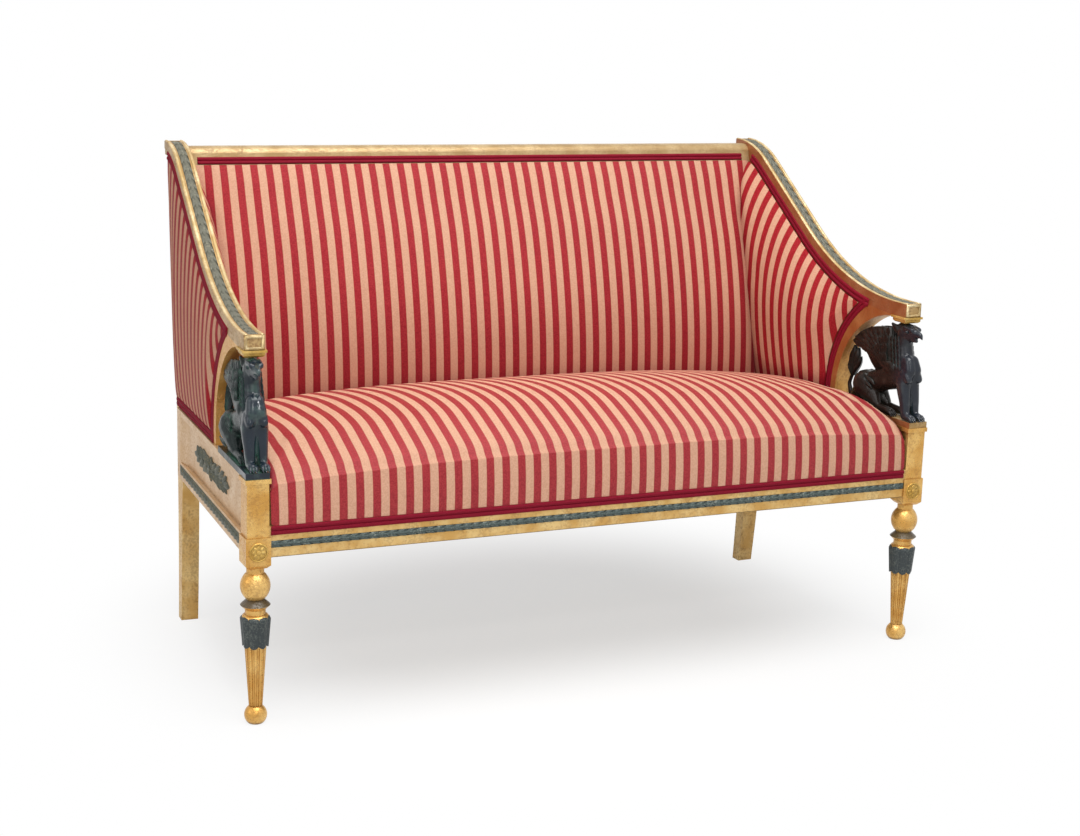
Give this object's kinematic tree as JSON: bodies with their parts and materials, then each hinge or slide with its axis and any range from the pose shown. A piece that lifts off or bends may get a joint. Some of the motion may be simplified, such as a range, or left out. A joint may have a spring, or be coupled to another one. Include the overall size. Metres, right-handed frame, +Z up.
{
  "type": "settee",
  "caption": "Gilded wooden settee with swept arms on seated griffin supports, turned front legs, a domed striped seat and an upholstered back.",
  "frame": {"origin": "on the floor, under the middle of the settee's box", "axes": "+X to the right as seen from the front, along the length; +Y to the back; +Z up"},
  "size_m": [1.355, 0.6834, 0.931],
  "materials": {
    "gilt_wood": "worn water gilding over red-brown bole",
    "bronzed_wood": "near-black bronzed carving with green tints",
    "verdigris_wood": "carved and painted grey-green",
    "frame_wood": "bare beech",
    "striped_fabric": "crimson and tan striped satin",
    "braid": "dark crimson woven braid",
    "stuffing": "curled hair and wadding",
    "webbing": "jute",
    "spring_steel": "coppered wire",
    "screw_steel": "plain"
  },
  "bodies": {
    "root": {"arm_arch_left": "gilt_wood", "arm_arch_right": "gilt_wood", "arm_cap_left": "gilt_wood", "arm_cap_right": "gilt_wood", "arm_cover_left": "striped_fabric", "arm_cover_right": "striped_fabric", "arm_hessian_left": "webbing", "arm_hessian_right": "webbing", "arm_inner_braid_left": "braid", "arm_inner_braid_right": "braid", "arm_laurel_left": "verdigris_wood", "arm_laurel_right": "verdigris_wood", "arm_outer_braid_left": "braid", "arm_outer_braid_right": "braid", "arm_outer_cover_left": "striped_fabric", "arm_outer_cover_right": "striped_fabric", "arm_rail_left": "gilt_wood", "arm_rail_right": "gilt_wood", "arm_stuffing_left": "stuffing", "arm_stuffing_right": "stuffing", "back_braid": "braid", "back_cover": "striped_fabric", "back_outer_cover": "striped_fabric", "back_rail": "frame_wood", "back_stuffing": "stuffing", "back_webbing": "webbing", "corner_blocks": "frame_wood", "corner_screws": "screw_steel", "crest_rail": "gilt_wood", "dust_cover": "webbing", "frame_dowels": "frame_wood", "front_laurel": "verdigris_wood", "front_leg_left": "gilt_wood", "front_leg_right": "gilt_wood", "front_rail": "gilt_wood", "griffin_dowels": "frame_wood", "griffin_left": "bronzed_wood", "griffin_plinth_left": "bronzed_wood", "griffin_plinth_right": "bronzed_wood", "griffin_right": "bronzed_wood", "lower_back_rail": "frame_wood", "rear_post_left": "gilt_wood", "rear_post_right": "gilt_wood", "rosette_left": "gilt_wood", "rosette_right": "gilt_wood", "seat_brace": "frame_wood", "seat_braid": "braid", "seat_cover": "striped_fabric", "seat_hessian": "webbing", "seat_springs": "spring_steel", "seat_stuffing": "stuffing", "seat_webbing": "webbing", "side_laurel_left": "verdigris_wood", "side_laurel_right": "verdigris_wood", "side_ornament_left": "verdigris_wood", "side_ornament_right": "verdigris_wood", "side_rail_left": "gilt_wood", "side_rail_right": "gilt_wood"}
  },
  "joints": []
}
